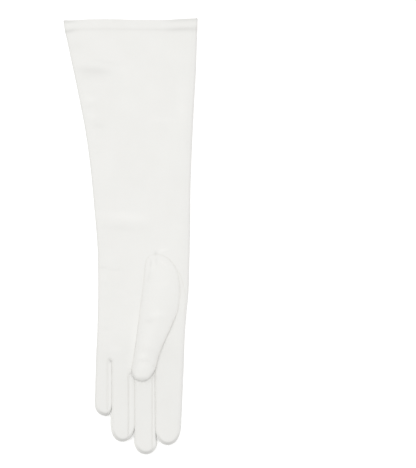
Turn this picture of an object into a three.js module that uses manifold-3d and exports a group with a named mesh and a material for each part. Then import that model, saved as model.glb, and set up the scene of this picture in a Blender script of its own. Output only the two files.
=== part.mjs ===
// Elbow-length leather dress glove for the left hand, lying palm up with its thumb folded over the palm.
// Millimetres, +Z up. The cuff is at +Y, the fingertips at -Y and the index finger at +X.
// The origin is the middle of the glove's footprint, on the surface that its back lies on.
import * as THREE from "three";
import { mergeVertices } from "three/addons/utils/BufferGeometryUtils.js";
import Module from "manifold-3d";

const wasm = await Module();
wasm.setup();

// Driving dimensions
const CUFF_Y = 215; // mouth of the sleeve
const HEM_WIDTH = 11; // turned and stitched band round the mouth
const SKIN = 1; // one layer of leather
const HEM_SKIN = 2; // the hem is two layers
const SEAM_GAP = 0.3; // clearance between pieces that are sewn to each other
const PALM_TOP = 10; // crown of the palm above the surface it lies on
const EDGE_HEIGHT = 3.4; // height of the fold along the sleeve's and the fingers' sides
const SLOPE_SKIN = 1.2; // a finger's side wall measured level, because it leans

// Facets of one section: over its top, and round each lower corner
const ARCH_STEPS = 12;
const CORNER_STEPS = 3;
const TIP_STEPS = 5;
const TIP_TURN = 0.48 * Math.PI; // how far the rounded end of a finger turns in
const TIP_FULLNESS = 0.8; // 1 is an ellipse, less is blunter

// Sleeve and hand, from the mouth to the knuckles. x of the little-finger side and of the index side.
const SLEEVE = [
  { y: 215.0, little: -66.2, index: 66.2, roof: 9.6 },
  { y: 203.5, little: -64.9, index: 65.9, roof: 9.8 },
  { y: 182.8, little: -61.2, index: 65.2, roof: 10.0 },
  { y: 159.0, little: -56.3, index: 64.0, roof: 10.0 },
  { y: 135.0, little: -51.3, index: 62.4, roof: 10.0 },
  { y: 111.5, little: -46.4, index: 61.3, roof: 10.0 },
  { y: 87.7, little: -42.2, index: 60.2, roof: 10.0 },
  { y: 64.0, little: -39.3, index: 59.3, roof: 10.0 },
  { y: 40.2, little: -37.2, index: 58.4, roof: 10.0 },
  { y: 16.4, little: -35.0, index: 58.1, roof: 10.0 },
  { y: -7.3, little: -32.8, index: 58.1, roof: 10.0 },
  { y: -31.1, little: -32.3, index: 57.8, roof: 10.0 },
  { y: -54.8, little: -32.3, index: 57.1, roof: 10.0 },
  { y: -78.6, little: -32.9, index: 54.9, roof: 10.0 },
  { y: -95.0, little: -33.2, index: 53.6, roof: 9.8 },
  { y: -108.0, little: -33.6, index: 53.0, roof: 9.3 },
  { y: -121.2, little: -34.0, index: 52.3, roof: 8.7 },
];
const SLEEVE_FULLNESS = 3.6; // 2 is an ellipse, more is flatter on top and rounder at the folds
const SLEEVE_CORNER = 3; // rounding where the fold meets the surface below

// Fingers. left and right are the palm face's edges at the knuckles and where the rounded tip begins.
// The palm face lies shifted towards the little finger, so each side wall leans by lean_left or lean_right.
const FINGERS = [
  { name: "little", roof: 8.5, tip_x: -25.2, tip_y: -176.8, tip_length: 11, lean_left: 0, lean_right: 4,
    base: { left: -33.8, right: -22.6 }, end: { left: -34.9, right: -22.6 } },
  { name: "ring", roof: 8.8, tip_x: -7.2, tip_y: -202.0, tip_length: 12, lean_left: 4, lean_right: 5.5,
    base: { left: -19.0, right: -2.2 }, end: { left: -19.0, right: -2.2 } },
  { name: "middle", roof: 9.0, tip_x: 15.4, tip_y: -215.0, tip_length: 11, lean_left: 5.5, lean_right: 4.5,
    base: { left: 4.1, right: 21.6 }, end: { left: 4.1, right: 21.6 } },
  { name: "index", roof: 8.7, tip_x: 36.8, tip_y: -205.0, tip_length: 13, lean_left: 4.5, lean_right: 0,
    base: { left: 26.1, right: 52.3 }, end: { left: 26.6, right: 49.8 } },
];
const KNUCKLE_Y = -112; // the fingers start inside the hand
const FINGER_FULLNESS = 4.2;
const FINGER_CORNER = 2.4;

// Where each slit between two fingers ends, and the y where the side strip stops on either finger.
const FORKS = [
  { name: "fourchette_ring_little", fingers: [0, 1], crotch_y: -121.2, strip_ends: [-166, -190] },
  { name: "fourchette_middle_ring", fingers: [1, 2], crotch_y: -135, strip_ends: [-190, -204] },
  { name: "fourchette_index_middle", fingers: [2, 3], crotch_y: -128, strip_ends: [-204, -192] },
];
const STRIP_LOW = 1.5; // lower and upper seam of a side strip
const STRIP_HIGH = 6.2;
const STRIP_REACH = 3.2; // how far the strip's cutting block reaches into a finger's hollow

// Thumb, from the top of its hole at the wrist to its tip. While it is over the hole it has no floor.
const THUMB = [
  { y: -17.4, left: 24.4, right: 26.4, roof: 10.8, sewn: true },
  { y: -19.5, left: 19.4, right: 34.8, roof: 11.8, sewn: true },
  { y: -24.0, left: 16.2, right: 40.6, roof: 13.4, sewn: true },
  { y: -31.0, left: 14.0, right: 45.6, roof: 15.4, sewn: true },
  { y: -42.0, left: 12.4, right: 48.8, roof: 17.6, sewn: true },
  { y: -54.0, left: 11.8, right: 49.6, roof: 19.0, sewn: true },
  { y: -66.0, left: 10.2, right: 48.6, roof: 19.6, sewn: true },
  { y: -76.0, left: 8.4, right: 46.2, roof: 19.8, sewn: true },
  { y: -79.0, left: 7.8, right: 44.8, roof: 19.8, sewn: false },
  { y: -92.0, left: 6.4, right: 38.4, roof: 19.6, sewn: false },
  { y: -107.0, left: 4.8, right: 31.2, roof: 19.4, sewn: false },
  { y: -121.0, left: 2.6, right: 26.4, roof: 19.2, sewn: false },
  { y: -131.0, left: 0.8, right: 23.8, roof: 19.0, sewn: false },
];
const THUMB_TIP = { x: 11.8, y: -143.2 };
const THUMB_FULLNESS = 3.4;
const THUMB_CORNER = 2.6;
const THUMB_EDGE = 3.8; // height of its fold above the palm
const THUMB_ROOT = 5; // the sewn part is lofted down to this level, then trimmed to the palm

// One section across a form, in the XZ plane, as a ring of points: over the top from the index side,
// then round the two lower corners with a flat floor between them.
function ring(s) {
  const half = (s.right - s.left) / 2;
  const middle = (s.right + s.left) / 2;
  const signedPower = (v) => Math.sign(v) * Math.abs(v) ** (2 / s.fullness);
  const points = [];
  for (let i = 0; i <= ARCH_STEPS; i++) {
    const turn = (Math.PI * i) / ARCH_STEPS;
    points.push([
      middle + half * signedPower(Math.cos(turn)),
      s.edge + (s.roof - s.edge) * signedPower(Math.max(0, Math.sin(turn))),
    ]);
  }
  const corner = (side, i) => {
    const turn = (Math.PI * i) / (2 * CORNER_STEPS);
    const x = side < 0 ? s.left : s.right;
    points.push([x - side * s.corner * (1 - Math.cos(turn)), s.edge - (s.edge - s.floor) * Math.sin(turn)]);
  };
  for (let i = 1; i <= CORNER_STEPS; i++) corner(-1, i);
  for (let i = CORNER_STEPS; i >= 1; i--) corner(1, i);
  return points.map(([x, z]) => {
    const across = (x - s.left) / (s.right - s.left);
    const lean = (s.leanLeft ?? 0) * (1 - across) + (s.leanRight ?? 0) * across;
    return new THREE.Vector3(x + lean * (1 - z / s.roof), s.y, z);
  });
}

// A closed solid through sections that run towards -Y.
function loft(sections) {
  const rings = sections.map(ring);
  const count = rings[0].length;
  const points = rings.flat();
  const index = [];
  for (let r = 0; r + 1 < rings.length; r++)
    for (let i = 0; i < count; i++) {
      const a = r * count + i;
      const b = r * count + ((i + 1) % count);
      index.push(a, b, b + count, a, b + count, a + count);
    }
  for (const [r, outwards] of [[0, 1], [rings.length - 1, -1]]) {
    const centre = rings[r].reduce((sum, p) => sum.add(p), new THREE.Vector3()).divideScalar(count);
    const hub = points.push(centre) - 1;
    for (let i = 0; i < count; i++) {
      const a = r * count + i;
      const b = r * count + ((i + 1) % count);
      if (outwards > 0) index.push(hub, b, a);
      else index.push(hub, a, b);
    }
  }
  const geometry = new THREE.BufferGeometry().setFromPoints(points);
  geometry.setIndex(index);
  return solid(geometry);
}

// A block between two levels whose sides lean like a finger's walls.
function leaningBlock({ x, y, z, lean, roof }) {
  const geometry = new THREE.BoxGeometry(x[1] - x[0], y[1] - y[0], z[1] - z[0]);
  geometry.translate((x[0] + x[1]) / 2, (y[0] + y[1]) / 2, (z[0] + z[1]) / 2);
  const p = geometry.getAttribute("position");
  for (let i = 0; i < p.count; i++) p.setX(i, p.getX(i) + lean * (1 - p.getZ(i) / roof));
  return solid(geometry);
}

function solid(geometry) {
  geometry.deleteAttribute("normal");
  geometry.deleteAttribute("uv");
  const merged = mergeVertices(geometry, 1e-4);
  return new wasm.Manifold(
    new wasm.Mesh({
      numProp: 3,
      vertProperties: merged.getAttribute("position").array,
      triVerts: new Uint32Array(merged.index.array),
    }),
  );
}

function unionOf(solids) {
  return solids.reduce((all, one) => all.add(one));
}

// The sleeve and hand between two places along Y, with each wall moved in by inset.
function sleeve(from, to, inset, floor = inset) {
  const at = (y) => {
    const k = Math.max(1, SLEEVE.findIndex((row) => row.y <= y + 1e-6));
    const [a, b] = [SLEEVE[k - 1], SLEEVE[k]];
    const t = (a.y - y) / (a.y - b.y);
    const mix = (key) => a[key] + (b[key] - a[key]) * t;
    return { y, little: mix("little"), index: mix("index"), roof: mix("roof") };
  };
  const rows = [at(from), ...SLEEVE.filter((row) => row.y < from - 1 && row.y > to + 1), at(to)];
  return loft(
    rows.map((row) => ({
      y: row.y,
      left: row.little + inset,
      right: row.index - inset,
      roof: row.roof - inset,
      floor,
      edge: EDGE_HEIGHT,
      corner: SLEEVE_CORNER - inset / 2,
      fullness: SLEEVE_FULLNESS,
    })),
  );
}

// The rounded end of a finger: each section shrinks towards the tip.
function roundedTip(last, tip, length) {
  const rows = [];
  for (let i = 1; i <= TIP_STEPS; i++) {
    const turn = (TIP_TURN * i) / TIP_STEPS;
    const keep = Math.cos(turn) ** TIP_FULLNESS;
    const towards = (value, centre) => centre + (value - centre) * keep;
    rows.push({
      ...last,
      y: tip.y + length * (1 - Math.sin(turn)),
      left: towards(last.left, tip.x),
      right: towards(last.right, tip.x),
      floor: towards(last.floor, last.edge),
      roof: towards(last.roof, last.edge),
      corner: last.corner * keep,
    });
  }
  return rows;
}

function finger(f, inset, side) {
  const shape = {
    roof: f.roof - inset,
    floor: inset,
    edge: EDGE_HEIGHT,
    corner: FINGER_CORNER - inset / 2,
    fullness: FINGER_FULLNESS,
    leanLeft: f.lean_left,
    leanRight: f.lean_right,
  };
  const row = (y, place) => ({ ...shape, y, left: place.left + side, right: place.right - side });
  const last = row(f.tip_y + f.tip_length, f.end);
  return loft([
    row(KNUCKLE_Y - inset, f.base),
    last,
    ...roundedTip(last, { x: f.tip_x, y: f.tip_y + inset }, f.tip_length - inset),
  ]);
}

// The palm and back run on between two fingers as far as the end of their slit.
function web(fork, inset) {
  const [a, b] = fork.fingers.map((i) => FINGERS[i]);
  const shape = {
    left: a.base.left + 6,
    right: b.base.right - 4,
    roof: Math.min(a.roof, b.roof) - inset,
    floor: inset,
    edge: EDGE_HEIGHT,
    corner: FINGER_CORNER - inset / 2,
    fullness: 2 * FINGER_FULLNESS,
  };
  return loft([{ ...shape, y: KNUCKLE_Y - inset }, { ...shape, y: fork.crotch_y + inset }]);
}

function thumbForm(inset) {
  const rows = THUMB.map((row) => ({
    y: row.y,
    left: row.left + inset,
    right: row.right - inset,
    roof: row.roof - inset,
    floor: row.sewn ? THUMB_ROOT - 2 * inset : PALM_TOP + SEAM_GAP + inset,
    edge: row.sewn ? Math.min(row.roof - inset - 0.5, PALM_TOP + 1) : PALM_TOP + SEAM_GAP + THUMB_EDGE,
    corner: row.sewn ? 0.4 : THUMB_CORNER - inset / 2,
    fullness: THUMB_FULLNESS,
  }));
  if (inset) {
    rows[0].y -= inset;
    rows[0].left = rows[0].left - inset + 0.4;
    rows[0].right = rows[0].right + inset - 0.4;
  }
  const last = rows[rows.length - 1];
  const tip = { x: THUMB_TIP.x, y: THUMB_TIP.y + inset };
  return loft([...rows, ...roundedTip(last, tip, last.y - tip.y)]);
}

// The block that holds one fourchette: the facing side walls of two fingers and the web that joins them.
function forkZone(fork, clearance) {
  const [a, b] = fork.fingers.map((i) => FINGERS[i]);
  const lean = a.lean_right;
  const divide = (a.base.right + b.base.left) / 2;
  const z = [STRIP_LOW - clearance, STRIP_HIGH + clearance];
  const top = fork.crotch_y + SKIN + 1 + clearance;
  const roof = Math.min(a.roof, b.roof);
  const arm = (x, end) => leaningBlock({ x, y: [end - clearance, top], z, lean, roof });
  return arm([a.base.right - STRIP_REACH, divide + 0.01], fork.strip_ends[0])
    .add(arm([divide - 0.01, b.base.left + STRIP_REACH], fork.strip_ends[1]));
}

const HEM_Y = CUFF_Y - HEM_WIDTH;
const KNUCKLES_END = SLEEVE[SLEEVE.length - 1].y;
const hollowPast = 5; // cutting solids run this far past an open end

const outerHand = unionOf([
  sleeve(HEM_Y - SEAM_GAP, KNUCKLES_END, 0),
  ...FORKS.slice(1).map((fork) => web(fork, 0)),
  ...FINGERS.map((f) => finger(f, 0, 0)),
]);
const hollowHand = unionOf([
  sleeve(HEM_Y + hollowPast, KNUCKLES_END + SKIN, SKIN),
  ...FORKS.slice(1).map((fork) => web(fork, SKIN)),
  ...FINGERS.map((f) => finger(f, SKIN, SLOPE_SKIN)),
]);
const shell = outerHand.subtract(hollowHand);
const hollowThumb = thumbForm(SKIN);

const fourchettes = FORKS.map((fork) => ({ name: fork.name, body: shell.intersect(forkZone(fork, 0)) }));
const trank = FORKS.reduce((rest, fork) => rest.subtract(forkZone(fork, SEAM_GAP)), shell).subtract(hollowThumb);
const thumb = thumbForm(0)
  .subtract(hollowThumb)
  .subtract(sleeve(HEM_Y, KNUCKLES_END, -SEAM_GAP));
const hem = sleeve(CUFF_Y, HEM_Y, 0).subtract(sleeve(CUFF_Y + hollowPast, HEM_Y - hollowPast, HEM_SKIN));

const leather = { color: 0xf0efea, roughness: 0.55, metalness: 0 };
const glove = new THREE.Group();
function addPiece(name, body) {
  const mesh = body.getMesh();
  const geometry = new THREE.BufferGeometry();
  geometry.setAttribute("position", new THREE.BufferAttribute(mesh.vertProperties, 3));
  geometry.setIndex(new THREE.BufferAttribute(mesh.triVerts, 1));
  geometry.computeVertexNormals();
  const piece = new THREE.Mesh(geometry, new THREE.MeshStandardMaterial(leather));
  piece.name = name;
  glove.add(piece);
}
addPiece("trank", trank);
addPiece("thumb", thumb);
addPiece("cuff_hem", hem);
for (const { name, body } of fourchettes) addPiece(name, body);

export default glove;
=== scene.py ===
# Looks of the elbow-length leather glove: its skins, seams, stitches, hem, leather, light and camera.
# Sizes are in millimetres and become metres in piece(). The stage, light and camera are in metres.
import math
import bmesh
import bpy
import numpy as np
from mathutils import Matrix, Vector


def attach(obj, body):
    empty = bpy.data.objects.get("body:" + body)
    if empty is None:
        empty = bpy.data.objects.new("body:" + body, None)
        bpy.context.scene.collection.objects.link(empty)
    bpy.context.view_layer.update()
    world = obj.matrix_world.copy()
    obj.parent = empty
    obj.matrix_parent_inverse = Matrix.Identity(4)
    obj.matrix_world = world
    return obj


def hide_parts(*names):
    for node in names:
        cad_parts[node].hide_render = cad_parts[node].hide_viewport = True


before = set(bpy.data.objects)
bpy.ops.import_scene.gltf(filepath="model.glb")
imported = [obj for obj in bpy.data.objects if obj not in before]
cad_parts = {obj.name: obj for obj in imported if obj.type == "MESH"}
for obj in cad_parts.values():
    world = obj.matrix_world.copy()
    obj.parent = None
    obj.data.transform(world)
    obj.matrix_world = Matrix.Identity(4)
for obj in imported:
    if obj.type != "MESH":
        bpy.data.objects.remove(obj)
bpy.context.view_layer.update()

MM = 0.001

# Tones: the share by which the leather's colour darkens, mostly as painted shade
FOLD_TONE, FOLD_SHADE = 0.11, 1.3  # painted shade along its side folds, and how far in from them
TIP_TONE = 0.27  # painted shade round the rim of a fingertip
TIP_SHADE = (3.7, 1.8)  # how far from the rim that begins, and where it is full
THUMB_TIP_TONE, THUMB_TIP_SHADE = 0.14, 2.5  # painted shade round the rim of the thumb's tip, and how far in
FINGER_TONE = 0.022  # all over the fingers
STRIP_TONE = 0.01  # all over the strips between them
CREASE_TONE = 0.1  # painted shade in a crease, for each millimetre of its depth, and painted highlight on a fold that stands up
HEM_TONE, HEM_CORNER_TONE = 0.025, 0.085  # painted shade along the hem's stitch line, and added at its corners
MOUTH_TONE, MOUTH_CORNER_TONE = 0.01, 0.11  # painted shade along the mouth, and added at its corners
HEM_SIDE_TONE = 0.08  # painted shade along the hem's sides
THUMB_SIDE_PAINTED_LIGHT = 0.05  # painted light: the share by which it is lighter on the palm beside the thumb
THUMB_SIDE_LIGHT_REACH = 4.5  # how far from the thumb that painted light shows

# Thickness of the leather
TRANK_SKIN = 0.9
THUMB_SKIN = 0.5
STRIP_SKIN = 0.8

# Mesh
MERGE = 0.01  # points of a piece that lie closer than this become one
RIDGE_PITCH = 0.9  # between the points of a seam's ridge

# The glove's section
EDGE = 3.4  # height of the fold along its sides
FLANK = 16.0  # how far in from that fold the palm and sleeve still rise
LITTLE_FLANK, INDEX_FLANK = 5.0, 6.0  # the same for the outer sides of the two outer fingers
FULLNESS = 2.7  # how round that rise is
LOW_FOLD = 3.2  # radius of the fold on the back
SEAM_TOP = 8.25  # height of a finger's seam on the palm face
SEAM_SLOPE, SEAM_FULLNESS = 3.4, 1.8  # how far from it the face falls to it, and how round
SEAM_LOW = 1.5  # height of its seam on the back
SEAM_SLOPE_LOW = 2.4  # how far from it the back rises to it
SEAM_REACH = 6.0  # how far a slit's seams still show above its end
LONG_SEAM = 4.2  # how far from the little-finger side the long seam runs on the back
LONG_SEAM_RISE = 0.45
LONG_SEAM_END = 12  # how far it stays from the end of the little finger's tip

# Along the glove
CUFF_Y = 215.0  # the mouth
HEM_Y = 204.0  # the hem's stitch line
HAND_END = -98.0  # from here the hand's outline passes into the fingers
KNUCKLE_Y = -112.0  # where a finger's base is measured
FINGERS_FROM = -121.0  # from here it is the fingers' own
LAST_SHARED_Y = -135.0  # from here each finger has rows of its own

# The hem
HEM_GROOVE = 0.1  # depth of the soft groove along its stitch line
HEM_PUCKER = 0.18  # how much deeper it is at the two corners
LITTLE_CORNER = (-49, -62)  # where the pucker begins, and where it is full
INDEX_CORNER = (25, 50)
MOUTH = [
    # x, how far the mouth's edge rises there
    (-66, -1.4),
    (-58, -1.3),
    (-40, -0.3),
    (-20, -0.2),
    (0, -0.6),
    (29, -1.0),
    (54, 0.2),
    (66, 0.9),
]

# Sleeve and hand: the little-finger side, the index side and the crown's height, from the mouth down
SLEEVE = [
    # y, little, index, roof
    (215.0, -66.7, 66.2, 9.6),
    (203.5, -64.9, 65.8, 9.8),
    (182.8, -60.8, 65.1, 10.0),
    (159.0, -55.7, 64.2, 10.0),
    (135.0, -50.8, 62.8, 10.0),
    (111.5, -46.2, 61.6, 10.0),
    (87.7, -42.4, 60.5, 10.0),
    (64.0, -39.5, 59.6, 10.0),
    (40.2, -37.2, 58.9, 10.0),
    (16.4, -35.1, 58.8, 10.0),
    (-7.3, -33.1, 58.4, 10.0),
    (-31.1, -32.4, 57.8, 10.0),
    (-54.8, -32.3, 57.1, 10.0),
    (-78.6, -32.7, 55.0, 10.0),
    (-95.0, -33.2, 53.6, 9.8),
    (-108.0, -33.6, 53.0, 9.3),
    (-121.2, -34.0, 52.3, 8.8),
]

# Fingers: the palm face's edges at the knuckles and where the tip begins, the end of the tip and the length
# over which it narrows, the crown's height, how far each side wall leans, and how far and where the left wall
# bulges
FINGERS = [
    dict(
        base=(-34.1, -22.6),
        end=(-35.6, -22.6),
        tip=(-24.2, -177.9),
        length=13,
        roof=8.5,
        lean=(0, 4),
        bulge=(0, -170, -180),
    ),
    dict(
        base=(-18.3, -2.2),
        end=(-18.3, -2.2),
        tip=(-8.2, -203.4),
        length=18,
        roof=8.8,
        lean=(1.6, 5.5),
        bulge=(1.9, -162, -179),
    ),
    dict(
        base=(4.1, 21.6),
        end=(4.1, 21.6),
        tip=(15.1, -215.8),
        length=15,
        roof=9.0,
        lean=(2, 4.5),
        bulge=(1.0, -187, -203),
    ),
    dict(
        base=(24.1, 53.0),
        end=(24.6, 49.8),
        tip=(36.6, -206.7),
        length=19,
        roof=8.7,
        lean=(2.3, 0),
        bulge=(0.3, -190, -206),
    ),
]
# Slits: the node of the strips in each, where it begins, and how far the strip on the little-finger side
# stands out from its seam round the fingertip
FORKS = [
    dict(node="fourchette_ring_little", crotch=-121.2, reach=4.2),
    dict(node="fourchette_middle_ring", crotch=-135.0, reach=6.2),
    dict(node="fourchette_index_middle", crotch=-128.0, reach=5.0),
]
TIP_FOLD = 6.5  # how far from the end of a tip its face begins to fall
SEAM_TURN = 8.0  # how far from it a seam with a strip beyond begins to turn in
SWELL = 1.11  # how much further a strip bulges than the size given for it
STRIP_PULL = (1.22, 1.42)  # how far the two handles of its section stand out, for the same size
STRIP_RISE, STRIP_HANG = 0.28, 2.2  # how far the first is raised, and the second lowered
STRIP_TUCK = -1.7  # how far along the slit its end is drawn
STRIP_POINTS = 17  # from its upper seam to its lower one
WEB_ABOVE, WEB_BELOW = 1.2, 6.0  # how far the web at a slit's end reaches to either side of its crotch
WEB_DEPTH, WEB_FALL = 0.15, 1.4  # how deep it lies under the seams, and how much deeper at its lower end

# Thumb: its outline on the palm and its crown's height, from the root to the tip
THUMB = [
    # y, left, right, roof
    (-17.8, 24.7, 25.1, 10.2),
    (-18.6, 20.6, 29.8, 10.4),
    (-20.4, 17.6, 34.4, 10.8),
    (-23.8, 15.2, 38.8, 11.5),
    (-27.7, 14.1, 42.4, 12.2),
    (-33.7, 13.5, 45.8, 13.3),
    (-43.6, 12.7, 48.0, 15.0),
    (-53.5, 11.7, 48.8, 16.4),
    (-63.4, 10.2, 48.2, 17.3),
    (-73.3, 9.0, 46.4, 17.7),
    (-83.2, 7.8, 42.5, 17.9),
    (-93.1, 6.5, 38.1, 17.8),
    (-103.0, 5.3, 33.7, 17.7),
    (-112.9, 3.9, 29.5, 17.6),
    (-122.8, 2.2, 26.2, 17.4),
    (-130.7, 1.1, 24.2, 16.8),
    (-136.6, 1.4, 21.6, 15.9),
    (-140.4, 3.7, 18.6, 14.8),
    (-142.2, 6.4, 15.8, 13.8),
    (-143.1, 9.4, 12.9, 12.6),
]
THUMB_LEFT_EDGE = 10.5  # height at the tip, above which this edge rests on the palm
THUMB_RIGHT_EDGE = 11.2
THUMB_RIGHT_DROP = 0.9  # how much lower this edge hangs over the knuckles
THUMB_SINK = 0.3  # how deep a sewn or resting edge sinks into the palm
THUMB_SEWN_TO, THUMB_FREE_FROM = -64, -86  # it is sewn to its hole above, and a free tube below
THUMB_OPEN_TO = -72  # above this it has no underside, and opens into the hand
THUMB_LINING = 8.6  # height of its underside where it is sewn
HOLE_TOP, HOLE_END, HOLE_INSET = -24, -74, 3  # the hole in the palm, and how far inside the thumb's outline
LENGTHWISE = 96  # faces along the thumb
ARCH = 36  # over its upper half
UNDER = 18  # and under it

# Creases and dents: a line on the surface, its half width and its depth. Where the depth is negative, the
# leather stands up in a fold. On the palm and thumb a crease is also painted shade, and a fold a painted
# highlight.
HEM_CREASES = [
    # x0, y0, x1, y1, half width, depth
    (-42, 214, -38, 206, 1.3, 0.35),
    (-20, 214, -14, 206, 1.2, 0.4),
    (-9, 205, -4, 213, 1.2, 0.3),
    (48, 210, 62, 208, 2.0, 0.3),
]
PALM_CREASES = [
    # x0, y0, x1, y1, half width, depth
    (-62, 188, -46, 187, 5.0, 0.25),
    (-36, 174, -8, 168, 2.0, 0.2),
    (-57, 164.5, -20, 162, 3.0, 0.42),
    (-54, 160, -18, 161, 6.5, 0.4),
    (-25, 165, 4, 164, 3.0, -0.08),
    (-47, 136, -33, 134, 3.0, -0.3),
    (-44, 128, -39, 127, 2.0, 0.25),
    (-44, 119, -33, 118, 2.5, -0.25),
    (-38, 109.5, -25, 107.5, 2.5, 0.35),
    (50, 155, 51, 98, 4.5, -0.15),
    (21, 115, 45, 114, 2.5, -0.15),
    (-31, 21, 18, 17, 4.5, -0.3),
    (-31, 9, 10, 6, 3.2, 0.25),
    (-31, -30.8, -20, -32.8, 1.1, 0.5),
    (-20, -32.8, -6, -34.6, 1.0, 0.3),
    (-27, -47.5, -24, -47.5, 2.0, 0.2),
    (-30, -92, -19, -92, 2.5, 0.2),
    (-24, -112, -7, -112, 3.0, -0.2),
    (26, -16, 36, -13, 1.5, -0.55),
]
THUMB_CREASES = [
    (20.0, -23, 19.4, -32, 1.1, 0.5),
    (19.0, -34, 16.8, -46, 1.2, 0.4),
    (23.0, -22, 21.6, -34, 1.3, -0.25),
    (25.0, -20, 25.4, -28, 1.4, 0.3),
    (29.0, -24, 36.0, -29, 1.1, -0.3),
    (20.0, -48, 44.0, -47, 4.0, -0.1),
    (20.0, -77, 37.0, -76, 2.4, -0.3),
    (14.0, -84, 23.0, -83.5, 2.6, 0.4),
    (8.0, -118, 15.0, -117.5, 2.0, -0.3),
    (7.0, -123, 19.0, -123, 1.6, 0.35),
    (9.0, -129, 20.0, -128, 2.2, -0.2),
    (10.0, -111, 24.0, -113, 2.6, 0.15),
]
# Painted shade at the pinched ends of seams: where the thumb is set in, and the crotches
SEAM_END_SHADES = [
    # x, y, radius, how much darker
    (24.6, -17.3, 1.4, 0.18),
    (-20.8, -121.2, 1.3, 0.1),
    (-21.0, -122.6, 1.1, 0.1),
    (-19.3, -123.5, 1.2, 0.2),
    (-20.5, -124.8, 1.2, 0.08),
    (0.6, -134.8, 1.3, 0.06),
    (22.6, -127.8, 1.3, 0.06),
]
# The second seam line beside the thumb, where its gusset meets the palm
GUSSET = [
    # x, y
    (28.5, -19.2),
    (35.0, -20.6),
    (40.0, -25.2),
    (44.3, -30.6),
    (47.8, -36.0),
    (50.4, -42.6),
    (52.6, -50.5),
    (54.0, -60.0),
    (53.8, -68.0),
    (52.4, -78.0),
    (50.6, -88.0),
]

# Stage and camera, in metres
FLOOR_Z = -0.0002  # as low as the stitches on the back reach
FLOOR_REACH = 3.0
CAMERA_PLACE = (0.0764, 0.0020, 3.0)
CAMERA_LENS = 233  # millimetres


def curve(xs, ys):
    """A smooth curve through one column of a table, as a function of x."""
    order = np.argsort(xs)
    xs = np.asarray(xs, float)[order]
    ys = np.asarray(ys, float)[order]
    slope = np.diff(ys) / np.diff(xs)
    tangent = np.concatenate(([slope[0]], (slope[1:] + slope[:-1]) / 2, [slope[-1]]))
    turns = slope[1:] * slope[:-1] <= 0
    tangent[1:-1][turns] = 0

    def at(x):
        x = np.clip(np.asarray(x, float), xs[0], xs[-1])
        i = np.clip(np.searchsorted(xs, x) - 1, 0, len(xs) - 2)
        h = xs[i + 1] - xs[i]
        t = (x - xs[i]) / h
        a = (1 + 2 * t) * (1 - t) ** 2 * ys[i] + t * (1 - t) ** 2 * h * tangent[i]
        return a + t * t * (3 - 2 * t) * ys[i + 1] - t * t * (1 - t) * h * tangent[i + 1]

    return at


def column(table, k):
    """Column k of a table as a function of its first column."""
    return curve([row[0] for row in table], [row[k] for row in table])


def ramp(x, start, end):
    """0 at start and before it, 1 at end and after it, smooth between."""
    t = np.clip((np.asarray(x, float) - start) / (end - start), 0, 1)
    return t * t * (3 - 2 * t)


def bell(distance, width):
    """1 at no distance, and falling away smoothly to either side."""
    return np.exp(-((distance / width) ** 2))


def drop(distance, radius, fullness=2.3):
    """How far a rounded edge has fallen: 1 at the edge, 0 from radius inwards."""
    s = np.clip(distance / radius, 0, 1)
    return 1 - (1 - (1 - s) ** fullness) ** (1 / fullness)


def creases(table, x, y):
    """Depth of a table's creases at a point, each strongest at the middle of its line."""
    total = np.zeros(np.broadcast(x, y).shape)
    for x0, y0, x1, y1, width, depth in table:
        ax, ay = x1 - x0, y1 - y0
        s = np.clip(((x - x0) * ax + (y - y0) * ay) / (ax * ax + ay * ay), 0, 1)
        away = (x - x0 - s * ax) ** 2 + (y - y0 - s * ay) ** 2
        total += depth * np.exp(-away / width**2) * (0.3 + 0.7 * np.sin(math.pi * s))
    return total


def unevenness(x, y):
    """How far the soft waves of leather that lies empty rise and sink."""
    long_wave = np.sin(x / 17 + 1.3) * np.sin(y / 41 + 0.4) + 0.7 * np.sin(x / 29 - y / 23 + 2.0)
    short_wave = np.sin(x / 7.3 - y / 19 + 0.7) * np.sin(y / 13 + x / 31)
    return 0.16 * long_wave + 0.06 * short_wave


little_side = column(SLEEVE, 1)
index_side = column(SLEEVE, 2)
crown = column(SLEEVE, 3)
thumb_left = column(THUMB, 1)
thumb_right = column(THUMB, 2)
thumb_crown = column(THUMB, 3)
mouth_line = column(MOUTH, 1)


def mouth_shift(x, y):
    """How far the mouth's uneven edge and stitch line lie from a straight line across the glove."""
    at_corner = ramp(x, -55, -63) * bell(y - HEM_Y, 5)
    return mouth_line(x) * ramp(y, 185, CUFF_Y) - 1.2 * at_corner


def hem_corner(x):
    """1 at the mouth's two corners, where the hem puckers, and 0 along its middle."""
    return np.maximum(ramp(x, *LITTLE_CORNER), 0.8 * ramp(x, *INDEX_CORNER))


def hem_groove(x, y):
    """How far the hem's stitch line draws the leather in."""
    return (HEM_GROOVE + HEM_PUCKER * hem_corner(x)) * bell(y - HEM_Y, 1.8)


def hem_shade(x, y):
    """How much the hem darkens: along its stitch line and the mouth, most of all at the two corners."""
    corner = hem_corner(x)
    line = (HEM_TONE + HEM_CORNER_TONE * corner) * bell(y - HEM_Y, 2.4)
    mouth = (MOUTH_TONE + MOUTH_CORNER_TONE * corner) * ramp(y, CUFF_Y - 4.5, CUFF_Y - 0.5)
    at_index = ramp(x, index_side(y) - 2.5, index_side(y))
    at_little = ramp(x, little_side(y) + 2.5, little_side(y))
    return line + mouth + HEM_SIDE_TONE * (at_index + at_little) * ramp(y, HEM_Y - 1, HEM_Y + 1)


def seam_end_shade(x, y):
    """How much painted shade darkens the pinched ends of seams."""
    total = 0
    for mark_x, mark_y, radius, depth in SEAM_END_SHADES:
        total = total + depth * np.exp(-((x - mark_x) ** 2 + (y - mark_y) ** 2) / radius**2)
    return total


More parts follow.
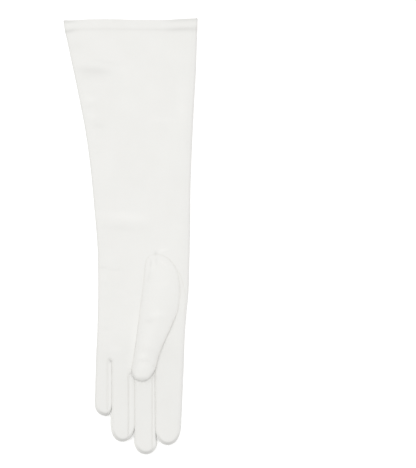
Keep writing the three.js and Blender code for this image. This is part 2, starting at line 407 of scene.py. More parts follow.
def palm_painted_light_and_shade(x, y):
    """Painted light and shade on the palm: lighter beside the thumb, darker in its creases and at the seams'
    ends.
    """
    beside = np.clip(np.maximum(thumb_left(y) - x, x - thumb_right(y)), 0, None)
    tone = THUMB_SIDE_PAINTED_LIGHT * bell(beside, THUMB_SIDE_LIGHT_REACH) * ramp(y, -50, -110) * ramp(y, -150, -143)
    return tone - CREASE_TONE * creases(PALM_CREASES, x, y) - seam_end_shade(x, y)


def palm_height(x, y):
    """Height of the palm or sleeve's upper face above the knuckles."""
    edges = drop(x - little_side(y), FLANK, FULLNESS) + drop(index_side(y) - x, FLANK, FULLNESS)
    relief = (creases(PALM_CREASES, x, y) + unevenness(x, y)) * (1 - np.clip(edges, 0, 1))
    return crown(y) - (crown(y) - EDGE) * edges - relief


def face_sides(f, y):
    """The palm face's two edges of a finger, before its tip closes."""
    along = (KNUCKLE_Y - y) / (KNUCKLE_Y - f["tip"][1] - f["length"])
    return [f["base"][k] + (f["end"][k] - f["base"][k]) * along for k in (0, 1)]


def tip_closing(f, y):
    """How far a fingertip has narrowed in width and in height, each 0 before the tip and 1 at its end."""
    u = np.clip((f["tip"][1] + f["length"] - y) / f["length"], 0, 1)
    v = np.clip((f["tip"][1] + TIP_FOLD - y) / TIP_FOLD, 0, 1)
    return u, v


def narrowing(u):
    """The share of its width that a tip still has."""
    return (1 - u**2.2) ** 0.47


def seam_narrowing(f, y):
    """The same for the seam beside a strip, which runs straight until closer to the tip's end."""
    return narrowing(np.clip((f["tip"][1] + SEAM_TURN - y) / SEAM_TURN, 0, 1))


def tip_shade(k, x, y):
    """How much the leather darkens towards the rim of finger k's tip, less so at its sides."""
    f = FINGERS[k]
    u, _ = tip_closing(f, y)
    left, right = face_sides(f, y)
    strip = FORKS[k]["reach"] if k < len(FORKS) else 0
    wide = np.where(x > f["tip"][0], right + strip - f["tip"][0], f["tip"][0] - left)
    share = np.clip(np.abs(x - f["tip"][0]) / (wide * narrowing(u) + 1e-6), 0, 1)
    from_rim = (1 - u * u) * (1 - share * share) * f["length"] / 2
    return TIP_TONE * (1 - 0.5 * share * share) * ramp(from_rim, *TIP_SHADE) * ramp(u, 0.2, 0.8)


def column_places(k):
    """Shares of a finger's width where its columns run, closest beside folds and seams."""
    wide = FINGERS[k]["base"][1] - FINGERS[k]["base"][0]
    fold = [0, 0.12, 0.4, 0.9, 1.6, 2.6, 3.6, 4.2, 4.8]
    seam = [0, 0.2, 0.6, 1.2, 2.0, 3.0]
    start = fold if k == 0 else seam
    finish = fold if k == 3 else seam
    middle = wide - start[-1] - finish[-1]
    steps = max(1, round(middle / 1.6))
    inner = [start[-1] + middle * i / steps for i in range(1, steps)]
    places = start + inner + [wide - v for v in reversed(finish)]
    return np.array(places) / wide


COLUMNS = [column_places(k) for k in range(len(FINGERS))]
HAND_LEFT = FINGERS[0]["base"][0]
HAND_RIGHT = FINGERS[3]["base"][1]


def skin(side, k, share, y):
    """Points of finger k's palm face (side +1) or back (side -1), and of the hand and sleeve above it."""
    f = FINGERS[k]
    share, y = np.broadcast_arrays(np.asarray(share, float)[None, :], np.asarray(y, float)[:, None])
    w = ramp(y, HAND_END, FINGERS_FROM)  # 0 on the hand and sleeve, 1 on the finger
    left, right = face_sides(f, y)
    wide = right - left
    hand_left, hand_right = little_side(y), index_side(y)
    knuckle_wide = f["base"][1] - f["base"][0]
    part = (f["base"][0] + share * knuckle_wide - HAND_LEFT) / (HAND_RIGHT - HAND_LEFT)
    x_hand = hand_left + part * (hand_right - hand_left)
    x = x_hand + w * (left + share * wide - x_hand)
    roof = crown(y) + w * (f["roof"] - crown(y))

    # Folds along the outer sides
    from_left = part * (hand_right - hand_left)
    from_right = (1 - part) * (hand_right - hand_left)
    if k == 0:
        from_left = from_left + w * (share * wide - from_left)
    if k == 3:
        from_right = from_right + w * ((1 - share) * wide - from_right)
    radius = FLANK + w * ((INDEX_FLANK if k == 3 else LITTLE_FLANK) - FLANK)
    fold = drop(from_left, radius, FULLNESS) + drop(from_right, radius, FULLNESS)
    low_fold = drop(from_left, LOW_FOLD) + drop(from_right, LOW_FOLD)

    # Seams on either side of a slit
    seam_fall = np.zeros(y.shape)
    seam_rise = np.zeros(y.shape)
    shift = np.zeros(y.shape)
    for fork, is_right in ((k - 1, False), (k, True)):
        if not 0 <= fork < len(FORKS):
            continue
        crotch = FORKS[fork]["crotch"]
        away = (1 - share) * wide if is_right else share * wide
        near = np.where(y <= crotch, 1.0, bell(y - crotch, SEAM_REACH))
        seam_fall += near * (roof - SEAM_TOP) * drop(away, SEAM_SLOPE, SEAM_FULLNESS)
        seam_rise += near * SEAM_LOW * drop(away, SEAM_SLOPE_LOW)
        a, b = face_sides(FINGERS[fork], y)[1], face_sides(FINGERS[fork + 1], y)[0]
        half = (b - a) / 2
        below = np.clip((crotch - y) / (1.3 * half), 0, 1)
        opening = np.where(y <= crotch, np.sqrt(1 - (1 - below) ** 2), ramp(y, crotch, crotch + 12))
        leaning = (FINGERS[fork]["lean"][1] - FINGERS[fork + 1]["lean"][0]) * (1 - SEAM_LOW / SEAM_TOP) / 2
        reach = half - leaning * w * (side < 0)
        toward_gap = (1 - opening) * reach * (w > 0) * bell(away, 0.35)
        shift += toward_gap * (1 if is_right else -1)

    # The mouth's stitch line draws the leather in a little
    drawn = hem_groove(x, y)
    calm = np.clip(1 - fold, 0, 1) * np.clip(1 - seam_fall / 2, 0, 1)
    if side > 0:
        relief = (creases(PALM_CREASES, x, y) + unevenness(x, y)) * calm * (1 - 0.6 * w)
        z = roof - (roof - EDGE) * fold - seam_fall - relief - drawn
    else:
        on_seam = bell(share * knuckle_wide - LONG_SEAM, 0.45) if k == 0 else 0
        long_seam = LONG_SEAM_RISE * on_seam * (y > FINGERS[0]["tip"][1] + LONG_SEAM_END)
        z = EDGE * low_fold + seam_rise + long_seam + drawn * (1 - low_fold)
    free = ramp(y, *f["bulge"][1:])
    lean = (f["lean"][0] * (1 - share) * (1 - free) + f["lean"][1] * share) * w
    x = x + shift + lean * np.clip(1 - z / SEAM_TOP, 0, 1)

    # The tip narrows to a round end, but its face stays level until close to it
    u, v = tip_closing(f, y)
    narrow = narrowing(u)
    if side > 0 and k < len(FORKS):
        narrow = np.where(x > f["tip"][0], seam_narrowing(f, y), narrow)
    x = f["tip"][0] + (x - f["tip"][0]) * narrow
    z = EDGE + (z - EDGE) * np.sqrt(1 - v * v)
    # Its tone: painted shade along the side folds, round the tip and at the hem, darker all over the fingers,
    # and the palm's painted light and shade
    tone = 1 - FOLD_TONE * (bell(from_left, FOLD_SHADE) + bell(from_right, FOLD_SHADE))
    tone -= tip_shade(k, x, y) + hem_shade(x, y) + FINGER_TONE * w
    if side > 0:
        tone += palm_painted_light_and_shade(x, y)
    y = y + mouth_shift(x, y)
    return np.stack([x, y, z, tone], -1)


class Body:
    """The points and faces of one piece, in millimetres, gathered grid by grid."""

    def __init__(self):
        self.points = []
        self.faces = []
        self.count = 0

    def grid(self, rows, flip=False, wrap=False, keep=None):
        """Joins rows of points, each x, y, z and, where painted shade or light changes the leather's colour,
        its tone.
        """
        r, c, values = rows.shape
        if values == 3:
            rows = np.concatenate([rows, np.ones((r, c, 1))], -1)
        i = np.arange(r - 1)[:, None]
        j = np.arange(c if wrap else c - 1)[None, :]
        a = self.count + i * c + j
        b = self.count + i * c + (j + 1) % c
        quads = np.stack([a, b, b + c, a + c], -1)
        if flip:
            quads = quads[..., ::-1]
        if keep is not None:
            quads = quads[keep]
        self.points.append(rows.reshape(-1, 4))
        self.faces.append(quads.reshape(-1, 4))
        self.count += r * c


def piece(name, body, material, node=None, thickness=0.0):
    """Makes a body's mesh in metres, joined where its grids meet, and puts it into the glove's frame."""
    mesh = bpy.data.meshes.new(name)
    faces = [face for group in body.faces for face in group.tolist()]
    points = np.concatenate(body.points)
    mesh.from_pydata((points[:, :3] * MM).tolist(), [], faces)
    # The tone attribute carries each point's painted shade and painted light
    mesh.attributes.new("tone", "FLOAT", "POINT").data.foreach_set("value", points[:, 3].astype(np.float32))
    bm = bmesh.new()
    bm.from_mesh(mesh)
    bmesh.ops.remove_doubles(bm, verts=bm.verts, dist=MERGE * MM)
    bmesh.ops.dissolve_degenerate(bm, edges=bm.edges, dist=1e-7)
    loose = [v for v in bm.verts if not v.link_faces]
    bmesh.ops.delete(bm, geom=loose, context="VERTS")
    bm.to_mesh(mesh)
    bm.free()
    mesh.shade_smooth()
    mesh.materials.append(material)
    obj = bpy.data.objects.new(name, mesh)
    bpy.context.scene.collection.objects.link(obj)
    if thickness:
        modifier = obj.modifiers.new("thickness", "SOLIDIFY")
        modifier.thickness = thickness * MM
        modifier.offset = -1
    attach(obj, "root")
    if node:
        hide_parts(node)


def shared_rows():
    """Rows from the hem's edge to the last crotch, close together round each crotch."""
    rows = [HEM_Y, HEM_Y - 0.12, HEM_Y - 0.6]
    for start, end, pitch in ((HEM_Y - 2, -95, 2.2), (-95, -116, 1.5), (-116, LAST_SHARED_Y, 0.9)):
        rows += list(np.arange(start, end, -pitch))
    exact = [fork["crotch"] for fork in FORKS]
    for crotch in exact:
        rows += [crotch + v for v in (6, 4, 2.6, 1.5, 0.7, 0.25)]
        rows += [crotch - v for v in (0.06, 0.25, 0.6, 1.1, 1.8, 2.6)]
    rows = sorted({round(v, 3) for v in rows if v > LAST_SHARED_Y}, reverse=True)
    kept = []
    for v in rows:
        crowded = kept and kept[-1] - v < 0.05
        if v in exact and crowded:
            kept[-1] = v
        elif not crowded:
            kept.append(v)
    return np.array(kept + [LAST_SHARED_Y])


def own_rows(k):
    """A finger's rows from the last shared one to the end of its tip."""
    tip_y = FINGERS[k]["tip"][1]
    rows = [LAST_SHARED_Y - v for v in (0, 0.06, 0.25, 0.6, 1.1, 1.8, 2.6)]
    start = tip_y + TIP_FOLD
    bend = tip_y + 30
    for reach, pitch in ((bend, 1.9), (start, 1.0)):
        steps = round((rows[-1] - reach) / pitch)
        rows += [rows[-1] + (reach - rows[-1]) * (i + 1) / steps for i in range(steps)]
    rows += [start - TIP_FOLD * math.sin(math.pi / 2 * i / 12) for i in range(1, 13)]
    return np.array(rows)


ROWS = shared_rows()
OWN = [own_rows(k) for k in range(len(FINGERS))]


def thumb_hole(points):
    """True where the palm is cut away under the thumb's root."""
    x, y = points[..., 0], points[..., 1]
    inside = (x > thumb_left(y) + HOLE_INSET) & (x < thumb_right(y) - HOLE_INSET)
    return inside & (y < HOLE_TOP) & (y > HOLE_END)


def trank_body():
    """The palm face and the back: one sheet each down to the last crotch, then one for each finger."""
    body = Body()
    for side in (1, -1):
        blocks = []
        gap_of = []
        for k, columns in enumerate(COLUMNS):
            block = skin(side, k, columns, ROWS)
            if k:
                blocks.append((blocks[-1][:, -1:] + block[:, :1]) / 2)
                gap_of.append(k - 1)
            blocks.append(block)
            gap_of += [None] * block.shape[1]
        grid = np.concatenate(blocks, 1)
        keep = np.ones((len(ROWS) - 1, grid.shape[1] - 1), bool)
        for j, fork in enumerate(gap_of):
            if fork is not None:
                joined = ROWS[1:] >= FORKS[fork]["crotch"] - 1e-6
                keep[:, j - 1] &= joined
                keep[:, j] &= joined
        if side > 0:
            keep &= ~thumb_hole(grid[:-1, :-1])
        body.grid(grid, flip=side > 0, keep=keep)
        for k, columns in enumerate(COLUMNS):
            body.grid(skin(side, k, columns, OWN[k]), flip=side > 0)
    return body


def slit_rows(fork):
    """The rows along a slit: down from its crotch to the tips of the two fingers beside it."""
    from_crotch = ROWS[ROWS <= FORKS[fork]["crotch"] + 1e-6]
    return [np.concatenate([from_crotch, OWN[k][1:]]) for k in (fork, fork + 1)]


def slit_path(fork, side):
    """A slit's seam on the palm face or the back: from one tip up to the crotch, and down to the next tip."""
    first, second = slit_rows(fork)
    up = skin(side, fork, [1.0], first)[:, 0]
    down = skin(side, fork + 1, [0.0], second)[:, 0]
    return np.concatenate([up[::-1], down[1:]])


def fourchette_body(fork):
    """The strips of one slit. The one on its little-finger side swells up and over to the next finger."""
    top, low = slit_path(fork, 1)[:, :3], slit_path(fork, -1)[:, :3]
    near, far = FINGERS[fork], FINGERS[fork + 1]
    first, second = slit_rows(fork)
    crotch = FORKS[fork]["crotch"]

    # How far each strip stands out across and along the glove, how tall it is, and how swollen
    parts = []
    for f, y in ((near, first), (far, second)):
        u, v = tip_closing(f, y)
        below = crotch - y
        if f is near:
            gap = face_sides(far, y)[0] - face_sides(near, y)[1]
            across = gap + (FORKS[fork]["reach"] / SWELL - gap) * ramp(u, 0, 0.5)
            across = across * ramp(below, -0.6, 2.6)
            along = STRIP_TUCK * (1 - ramp(below, 0, 3.5))
            swollen = np.ones(len(y))
        else:
            free = ramp(y, *f["bulge"][1:])
            filling = ramp(below, -0.5, 1.2) * (1 - ramp(below, 1.8, 6))
            across = -f["bulge"][0] * free / SWELL - 0.4 * gap[0] * filling
            along = STRIP_TUCK * (1 - ramp(below, 0, 2.5))
            swollen = np.maximum(free, 1 - ramp(below, 1.8, 6))
        across = across * narrowing(u)
        if f is near:
            seam_x = face_sides(f, y)[1] - f["tip"][0]
            across = across + seam_x * (narrowing(u) - seam_narrowing(f, y)) / SWELL
        parts.append(np.stack([across, along, np.sqrt(1 - v * v), swollen], 1))
    across, along, tall, swollen = np.concatenate([parts[0][::-1], parts[1][1:]]).T[:, :, None]

    # Its section is a curve from the upper seam to the lower one, drawn out by two handles
    out = np.concatenate([across, along, 0 * across], 1)
    up = np.concatenate([0 * across, 0 * across, STRIP_RISE * np.abs(across) * tall], 1)
    down = np.concatenate([0 * across, 0 * across, -STRIP_HANG * tall], 1)
    inner = top + (low - top) / 3 * (1 - swollen) + (STRIP_PULL[0] * out + up) * swollen
    outer = top + (low - top) * 2 / 3 * (1 - swollen) + (STRIP_PULL[1] * out + down) * swollen
    rows = []
    for t in np.linspace(0, 1, STRIP_POINTS):
        s = 1 - t
        place = s**3 * top + 3 * s**2 * t * inner + 3 * s * t**2 * outer + t**3 * low
        x, y = place[:, :1], place[:, 1:2]
        is_first = np.arange(len(y))[:, None] < len(first)
        # Its tone: a little darker all over, with painted shade round the tips and at the seams' ends
        tip = np.where(is_first, tip_shade(fork, x, y), tip_shade(fork + 1, x, y))
        rows.append(np.concatenate([place, 1 - STRIP_TONE - tip - seam_end_shade(x, y)], 1))
    body = Body()
    body.grid(np.stack(rows, 1))

    # The little web that closes the slit's end between its two strips
    web_y = np.linspace(crotch + WEB_ABOVE, crotch - WEB_BELOW, 12)[:, None]
    seam_left, seam_right = face_sides(near, web_y)[1] - 0.3, face_sides(far, web_y)[0] + 0.3
    web_x = seam_left + (seam_right - seam_left) * np.linspace(0, 1, 7)[None, :]
    web_z = SEAM_TOP - WEB_DEPTH - WEB_FALL * ramp(web_y, crotch - 1.5, crotch - WEB_BELOW)
    # painted shade at the seams' ends
    web_tone = 1 - STRIP_TONE - seam_end_shade(web_x, web_y)
    body.grid(np.stack(np.broadcast_arrays(web_x, web_y, web_z, web_tone), -1), flip=True)
    return body


def hem_body():
    """The turned band: its outer layer, the rounded mouth and the inner layer back to the stitch line."""
    places = []
    for f, columns in zip(FINGERS, COLUMNS):
        left, right = f["base"]
        places.append(left + columns * (right - left))
    part = np.unique(np.round((np.concatenate(places) - HAND_LEFT) / (HAND_RIGHT - HAND_LEFT), 6))
    part[0], part[-1] = 0, 1
    rings = []

    # Each ring's place along the glove, and how far it lies inside the sleeve's own surface
    profile = [(HEM_Y - 0.6, 0.06), (HEM_Y, 0.01), (HEM_Y + 0.5, 0.0), (HEM_Y + 1.1, 0.0)]
    profile += [(HEM_Y + v, -0.05) for v in (1.9, 2.8, 4.0, 5.4, 6.8, 8.2, 9.2)]
    profile += [(CUFF_Y - 1.0, -0.02), (CUFF_Y - 0.35, 0.2), (CUFF_Y - 0.05, 0.55), (CUFF_Y, 0.95)]
    profile += [(CUFF_Y - 0.1, 1.35), (CUFF_Y - 0.5, 1.75), (CUFF_Y - 1.4, 1.9)]
    profile += [(HEM_Y + v, 1.9) for v in (8.0, 6.0, 4.0, 2.0, 0.4)] + [(HEM_Y - 0.3, 1.4)]
    for y, inset in profile:
        left, right = little_side(y), index_side(y)
        x = left + inset + part * (right - left - 2 * inset)
        from_left, from_right = x - left - inset, right - inset - x
        edges = drop(from_left, FLANK - inset, FULLNESS) + drop(from_right, FLANK - inset, FULLNESS)
        low = drop(from_left, LOW_FOLD) + drop(from_right, LOW_FOLD)
        here = np.full(x.shape, y)
        drawn = hem_groove(x, y) * (inset < 1)  # on the outer layer only
        gather = 0.08 * np.sin(x / 1.1 + 2 * np.sin(x / 9)) * ramp(y, HEM_Y + 5, HEM_Y + 1.5)
        relief = creases(HEM_CREASES, x, here) + unevenness(x, here) - gather
        roof = crown(y) - inset
        top = roof - (roof - EDGE) * edges - relief * (1 - np.clip(edges, 0, 1)) - drawn
        base = inset + (EDGE - inset) * low + drawn * (1 - low)
        shifted = y + mouth_shift(x, here)
        longer = 0.7 * ramp(y, HEM_Y + 3, CUFF_Y) * (1 - low)
        # painted shade along the stitch line, the mouth and the sides
        tone = 1 - hem_shade(x, here)
        upper = np.stack([x, shifted - longer, top, tone], -1)
        lower = np.stack([x, shifted, base, tone], -1)
        rings.append(np.concatenate([upper, lower[-2:0:-1]]))
    body = Body()
    body.grid(np.stack(rings), wrap=True)
    return body


def thumb_grid():
    """Rings round the thumb from its root to its tip, and their heights along the glove."""
    first, last = THUMB[0][0], THUMB[-1][0]
    turns = np.linspace(0, math.pi, LENGTHWISE + 1)
    rows = first + (last - first) * (1 - np.cos(turns)) / 2
    arch = np.linspace(0, math.pi, ARCH + 1)
    under = np.linspace(math.pi, 2 * math.pi, UNDER + 1)[1:-1]
    rings = []
    for y in rows:
        left, right = float(thumb_left(y)), float(thumb_right(y))
        half, middle = (right - left) / 2, (right + left) / 2
        free = float(ramp(y, THUMB_SEWN_TO, THUMB_FREE_FROM))
        resting = float(palm_height(left, y)) - THUMB_SINK
        left_edge = resting + (THUMB_LEFT_EDGE - resting) * float(ramp(y, -128, -138))
        hanging = float(ramp(y, -90, -118)) * float(ramp(y, -140, -128))
        right_edge = THUMB_RIGHT_EDGE - THUMB_RIGHT_DROP * hanging

        # Its upper half, from the right edge over the crown to the left edge, which rises less steeply
        x_top = middle + half * np.cos(arch)
        rest = palm_height(x_top, np.full(x_top.shape, max(y, -100.0)))
        rightness = (x_top - left) / (right - left)
        edge = left_edge + (right_edge - left_edge) * rightness
        edge = (rest - THUMB_SINK) * (1 - free) + edge * free
        roundness = 1.7 + 0.3 * free - (0.5 + 0.1 * free) * rightness
        top = edge + (float(thumb_crown(y)) - edge) * np.sin(arch) ** roundness
        top = top - creases(THUMB_CREASES, x_top, y) * np.sin(arch) ** 0.5

        # Its underside, back from the left edge to the right one
        x_low = middle + half * np.cos(under)
        rightness = (x_low - left) / (right - left)
        edge = left_edge + (right_edge - left_edge) * rightness
        edge = THUMB_LINING * (1 - free) + edge * free
        low = edge - 0.2 * np.abs(np.sin(under)) ** 0.8

        # Painted shade in its creases, at the seam's end and round its tip, and a painted highlight on its
        # folds
        tone = 1 - CREASE_TONE * creases(THUMB_CREASES, x_top, y) - seam_end_shade(x_top, y)
        from_side = np.minimum(x_top - left, right - x_top)
        rim = bell(from_side, THUMB_TIP_SHADE) * float(ramp(y, -131, -138))
        tone = tone - THUMB_TIP_TONE * np.maximum(rim, float(ramp(y, -137.5, -142)))
        ring_x = np.concatenate([x_top, x_low])
        ring_z = np.concatenate([top, low])
        ring_tone = np.concatenate([tone, np.ones(len(low))])
        rings.append(np.stack([ring_x, np.full(ring_x.shape, y), ring_z, ring_tone], -1))

    # One point closes the tip
    rings.append(np.broadcast_to(rings[-1].mean(0) - [0, 0.08, 0, 0], rings[-1].shape))
    return np.stack(rings), rows


THUMB_RINGS, THUMB_ROWS = thumb_grid()


def thumb_body():
    """The thumb's rings joined, without an underside where it opens into the hand."""
    body = Body()
    rings, sides = THUMB_RINGS.shape[:2]
    keep = np.ones((rings - 1, sides), bool)
    keep[np.ix_(THUMB_ROWS > THUMB_OPEN_TO, np.arange(sides) > ARCH)] = False
    body.grid(THUMB_RINGS, wrap=True, keep=keep)
    return body


def along_path(path, pitch):
    """The path again, with points every pitch millimetres."""
    path = np.asarray(path, float)
    length = np.concatenate([[0], np.cumsum(np.linalg.norm(np.diff(path, axis=0), axis=1))])
    at = np.linspace(0, length[-1], max(3, round(length[-1] / pitch) + 1))
    return np.stack([np.interp(at, length, path[:, k]) for k in range(path.shape[1])], 1)


def add_tube(body, path, radius, sides=7, fade=0.6):
    """A round ridge along a path, which thins out over its last stretch at both ends."""
    along = np.gradient(path, axis=0)
    along /= np.linalg.norm(along, axis=1)[:, None] + 1e-9
    across = np.cross(along, [0, 0, 1.0])
    across /= np.linalg.norm(across, axis=1)[:, None] + 1e-9
    up = np.cross(across, along)
    turn = np.linspace(0, 2 * math.pi, sides, endpoint=False)
    length = np.concatenate([[0], np.cumsum(np.linalg.norm(np.diff(path, axis=0), axis=1))])
    size = radius * np.clip(np.minimum(length, length[-1] - length) / fade, 0.2, 1)
    ring = across[:, None] * np.cos(turn)[:, None] + up[:, None] * np.sin(turn)[:, None]
    body.grid(path[:, None] + ring * size[:, None, None], wrap=True)


def add_stitches(body, path, length=1.35, pitch=2.1, radius=0.13, lift=0.05):
    """Short threads in a row along a path, both ends sunk into the leather."""
    fine = 0.25
    path = along_path(path, fine)
    step = max(2, round(pitch / fine))
    reach = max(2, round(length / fine))
    picks = np.array([0, reach // 4, reach // 2, reach - reach // 4, reach])
    for start in range(1, len(path) - reach, step):
        stitch = path[start + picks]
        stitch[:, 2] += lift + np.array([-0.16, 0.04, 0.07, 0.04, -0.16])
        add_tube(body, stitch, radius, sides=5, fade=0.2)


def finger_seams():
    """A ridge along each slit's seams, on the palm face and the back, and the stitches just inside them."""
    ridges, stitches = Body(), Body()
    for fork in range(len(FORKS)):
        for side in (1, -1):
            edge = slit_path(fork, side)[:, :3]
            edge = along_path(edge[4:-4], RIDGE_PITCH)
            edge[:, 2] -= 0.1 * side
            add_tube(ridges, edge, radius=0.21, fade=6)
            for k, share, rows in zip((fork, fork + 1), (1.0, 0.0), slit_rows(fork)):
                inset = 1.0 / (FINGERS[k]["base"][1] - FINGERS[k]["base"][0])  # 1 mm, as a share of its width
                rows = rows[rows > FINGERS[k]["tip"][1] + 3]
                path = skin(side, k, [abs(share - inset)], rows)[:, 0, :3]
                path[:, 2] += 0.04 if side > 0 else -0.16
                add_stitches(stitches, path, lift=0.05 if side > 0 else 0.0)
    return ridges, stitches


def thumb_seams():
    """The ridge and stitches where the thumb is sewn in and along its sides, and the gusset's ridge."""
    ridges, stitches = Body(), Body()
    side_rows = THUMB_RINGS[2:-4, :, :3]
    left = side_rows[:, ARCH - 1]
    right = side_rows[:, 1]
    outline = np.concatenate([left[::-1], THUMB_RINGS[1:2, ARCH // 2, :3], right])
    outline = along_path(outline[outline[:, 1] > -133], RIDGE_PITCH)
    outline[:, 2] += 0.06
    add_tube(ridges, outline, radius=0.34)
    inner = np.concatenate([side_rows[:, ARCH - 4][::-1], side_rows[:, 4]])
    add_stitches(stitches, inner[inner[:, 1] > -128])

    # The gusset's own seam, on the palm
    gusset = np.array(GUSSET)
    smooth_x = curve(-gusset[:, 1], gusset[:, 0])
    y = np.linspace(gusset[0, 1], gusset[-1, 1], 90)
    x = smooth_x(-y)
    line = np.stack([x, y, palm_height(x, y)], 1)
    line[:, 2] -= 0.05
    add_tube(ridges, along_path(line, RIDGE_PITCH), radius=0.26, fade=16)
    return ridges, stitches


def hem_stitches():
    """One row of stitches round the mouth, in the groove where the hem ends."""
    body = Body()
    y = HEM_Y + 0.7
    x = np.linspace(little_side(y) + 1.2, index_side(y) - 1.2, 260)
    row_y = np.full(x.shape, y)
    shifted = row_y + mouth_shift(x, row_y)
    groove = hem_groove(x, y)
    upper = np.stack([x, shifted, palm_height(x, row_y) - groove], 1)
    add_stitches(body, upper, length=1.2, pitch=1.9, radius=0.11, lift=0.03)
    low = groove + (EDGE - groove) * (drop(x - little_side(y), LOW_FOLD) + drop(index_side(y) - x, LOW_FOLD))
    lower = np.stack([x, shifted, low - 0.1], 1)
    add_stitches(body, lower, length=1.2, pitch=1.9, radius=0.15, lift=0)
    return body


# Materials
def nodes_of(material):
    material.use_nodes = True
    tree = material.node_tree
    return tree, tree.nodes["Principled BSDF"]


def add(tree, kind, **values):
    """A new node. A value whose name starts with in_ is set on the input of that name."""
    node = tree.nodes.new(kind)
    for key, value in values.items():
        if key.startswith("in_"):
            node.inputs[key[3:].replace("_", " ")].default_value = value
        else:
            setattr(node, key, value)
    return node


def leather_material(name, light, dark, roughness):
    """Smooth white glove leather: fine pores, faint stretch lines, a cloudy variation of tone, and each
    piece's painted shade and painted light.
    """
    material = bpy.data.materials.new(name)
    tree, shader = nodes_of(material)
    link = tree.links.new
    place = add(tree, "ShaderNodeTexCoord")
    cloud = add(tree, "ShaderNodeTexNoise", in_Scale=38.0, in_Detail=4.0, in_Roughness=0.55)
    link(place.outputs["Object"], cloud.inputs["Vector"])
    tone = add(tree, "ShaderNodeValToRGB")
    tone.color_ramp.elements[0].position = 0.36
    tone.color_ramp.elements[0].color = (*dark, 1)
    tone.color_ramp.elements[1].position = 0.64
    tone.color_ramp.elements[1].color = (*light, 1)
    link(cloud.outputs["Fac"], tone.inputs["Fac"])
    # The tone attribute darkens or lightens the colour with the pieces' painted shade and painted light
    shade = add(tree, "ShaderNodeAttribute", attribute_name="tone")
    shaded = add(tree, "ShaderNodeVectorMath", operation="SCALE")
    link(tone.outputs["Color"], shaded.inputs[0])
    link(shade.outputs["Fac"], shaded.inputs["Scale"])
    link(shaded.outputs["Vector"], shader.inputs["Base Color"])

    pores = add(tree, "ShaderNodeTexVoronoi", in_Scale=1500.0)
    link(place.outputs["Object"], pores.inputs["Vector"])
    stretch = add(tree, "ShaderNodeMapping")
    stretch.inputs["Scale"].default_value = (1.0, 0.28, 1.0)
    link(place.outputs["Object"], stretch.inputs["Vector"])
    lines = add(tree, "ShaderNodeTexNoise", in_Scale=420.0, in_Detail=5.0, in_Roughness=0.6)
    link(stretch.outputs["Vector"], lines.inputs["Vector"])
    soft = add(tree, "ShaderNodeTexNoise", in_Scale=90.0, in_Detail=2.0)
    link(place.outputs["Object"], soft.inputs["Vector"])
    height = add(tree, "ShaderNodeMath", operation="MULTIPLY_ADD")
    height.inputs[1].default_value = 0.35
    link(pores.outputs["Distance"], height.inputs[0])
    link(lines.outputs["Fac"], height.inputs[2])
    grain = add(tree, "ShaderNodeBump", in_Strength=0.25, in_Distance=0.00012)
    link(height.outputs["Value"], grain.inputs["Height"])
    waves = add(tree, "ShaderNodeBump", in_Strength=0.3, in_Distance=0.0006)
    link(soft.outputs["Fac"], waves.inputs["Height"])
    link(grain.outputs["Normal"], waves.inputs["Normal"])
    link(waves.outputs["Normal"], shader.inputs["Normal"])

    gloss = add(tree, "ShaderNodeMapRange")
    gloss.inputs["To Min"].default_value = roughness - 0.06
    gloss.inputs["To Max"].default_value = roughness + 0.08
    link(lines.outputs["Fac"], gloss.inputs["Value"])
    link(gloss.outputs["Result"], shader.inputs["Roughness"])
    shader.inputs["Specular IOR Level"].default_value = 0.35
    return material


leather = leather_material("leather", (0.811, 0.807, 0.784), (0.799, 0.795, 0.771), 0.55)
seam_leather = leather_material("seam_leather", (0.805, 0.797, 0.765), (0.78, 0.77, 0.735), 0.6)
thread = leather_material("thread", (0.83, 0.82, 0.79), (0.78, 0.77, 0.74), 0.7)

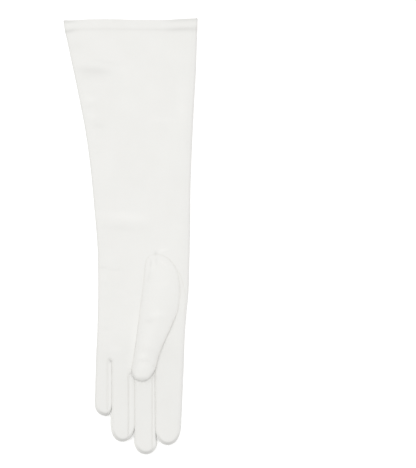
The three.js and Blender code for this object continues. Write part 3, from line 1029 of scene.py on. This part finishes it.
piece("trank_skin", trank_body(), leather, "trank", TRANK_SKIN)
piece("hem_skin", hem_body(), leather, "cuff_hem")
piece("thumb_skin", thumb_body(), leather, "thumb", THUMB_SKIN)
for number, fork in enumerate(FORKS):
    piece(fork["node"] + "_skin", fourchette_body(number), leather, fork["node"], STRIP_SKIN)
for name, (ridges, stitches) in (("finger_seams", finger_seams()), ("thumb_seams", thumb_seams())):
    piece(name, ridges, seam_leather)
    piece(name + "_thread", stitches, thread)
piece("hem_thread", hem_stitches(), thread)


# Stage, light and camera
def floor():
    """The plain white ground that the glove lies on."""
    mesh = bpy.data.meshes.new("floor")
    corners = [(FLOOR_REACH * x, FLOOR_REACH * y, FLOOR_Z) for x, y in ((-1, -1), (1, -1), (1, 1), (-1, 1))]
    mesh.from_pydata(corners, [], [(0, 1, 2, 3)])
    material = bpy.data.materials.new("floor")
    _, shader = nodes_of(material)
    shader.inputs["Base Color"].default_value = (0.97, 0.97, 0.97, 1)
    shader.inputs["Roughness"].default_value = 0.9
    shader.inputs["Specular IOR Level"].default_value = 0.0
    shader.inputs["Emission Color"].default_value = (1, 1, 1, 1)
    shader.inputs["Emission Strength"].default_value = 0.2
    mesh.materials.append(material)
    obj = bpy.data.objects.new("floor", mesh)
    bpy.context.scene.collection.objects.link(obj)


def area_light(name, place, target, size, energy):
    """A rectangular light at a place, turned to a target."""
    data = bpy.data.lights.new(name, "AREA")
    data.shape = "RECTANGLE"
    data.size, data.size_y = size
    data.energy = energy
    obj = bpy.data.objects.new(name, data)
    bpy.context.scene.collection.objects.link(obj)
    obj.location = place
    direction = Vector(target) - Vector(place)
    obj.rotation_euler = direction.to_track_quat("-Z", "Y").to_euler()


floor()
world = bpy.data.worlds.new("studio")
bpy.context.scene.world = world
world.use_nodes = True
world.node_tree.nodes["Background"].inputs["Color"].default_value = (1, 1, 1, 1)
world.node_tree.nodes["Background"].inputs["Strength"].default_value = 0.88
area_light("key", place=(-0.5, 1.1, 4.6), target=(0.05, 0, 0), size=(2.6, 2.0), energy=46)

camera_data = bpy.data.cameras.new("camera")
camera_data.sensor_width = 36
camera_data.lens = CAMERA_LENS
camera_data.clip_end = 20
camera = bpy.data.objects.new("camera", camera_data)
camera.location = CAMERA_PLACE
bpy.context.scene.collection.objects.link(camera)
bpy.context.scene.camera = camera
bpy.context.scene.view_settings.view_transform = "Standard"
